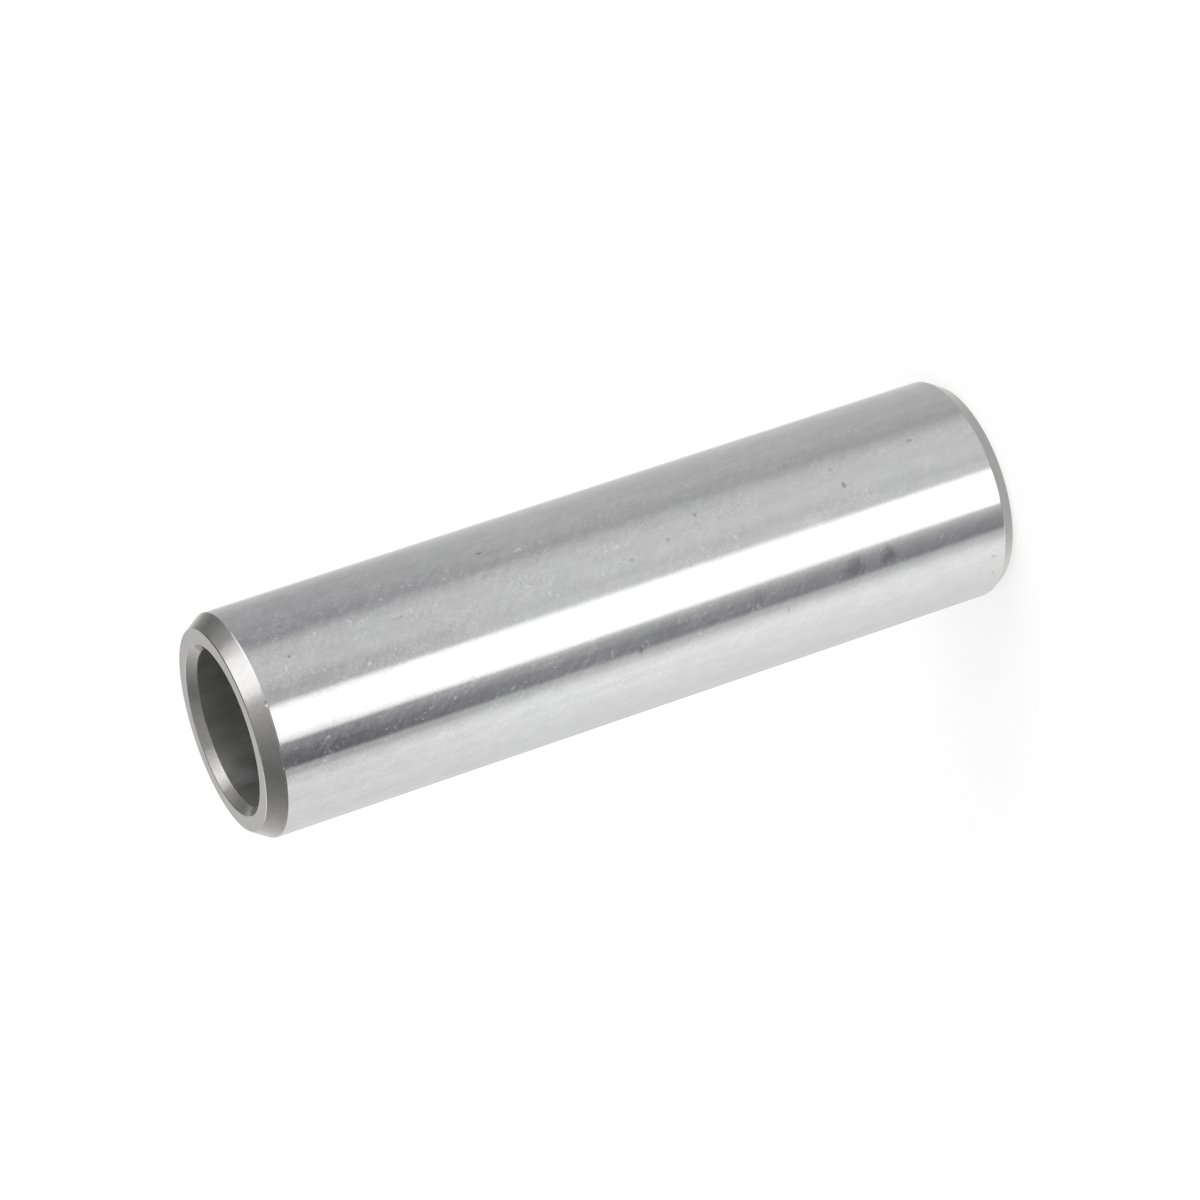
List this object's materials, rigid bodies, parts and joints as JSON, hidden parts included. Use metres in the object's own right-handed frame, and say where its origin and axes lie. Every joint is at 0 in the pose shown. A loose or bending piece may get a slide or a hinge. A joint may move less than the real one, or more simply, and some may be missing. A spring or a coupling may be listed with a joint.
{
  "type": "gudgeon pin",
  "caption": "Hollow steel gudgeon pin: a ground cylinder with a lead-in chamfer at each end and a straight through bore with chamfered mouths; joins piston to connecting rod.",
  "frame": {"origin": "centre of the foot face, on which the pin stands", "axes": "+Z along the pin's axis, from the foot end to the top end; X and Y are any two square to it"},
  "size_m": [0.02, 0.02, 0.072],
  "materials": {
    "hardened_steel": "case-hardened steel, ground and superfinished outside, turned chamfers and end faces, plain drawn bore"
  },
  "bodies": {
    "root": {"gudgeon_pin": "hardened_steel"}
  },
  "joints": []
}
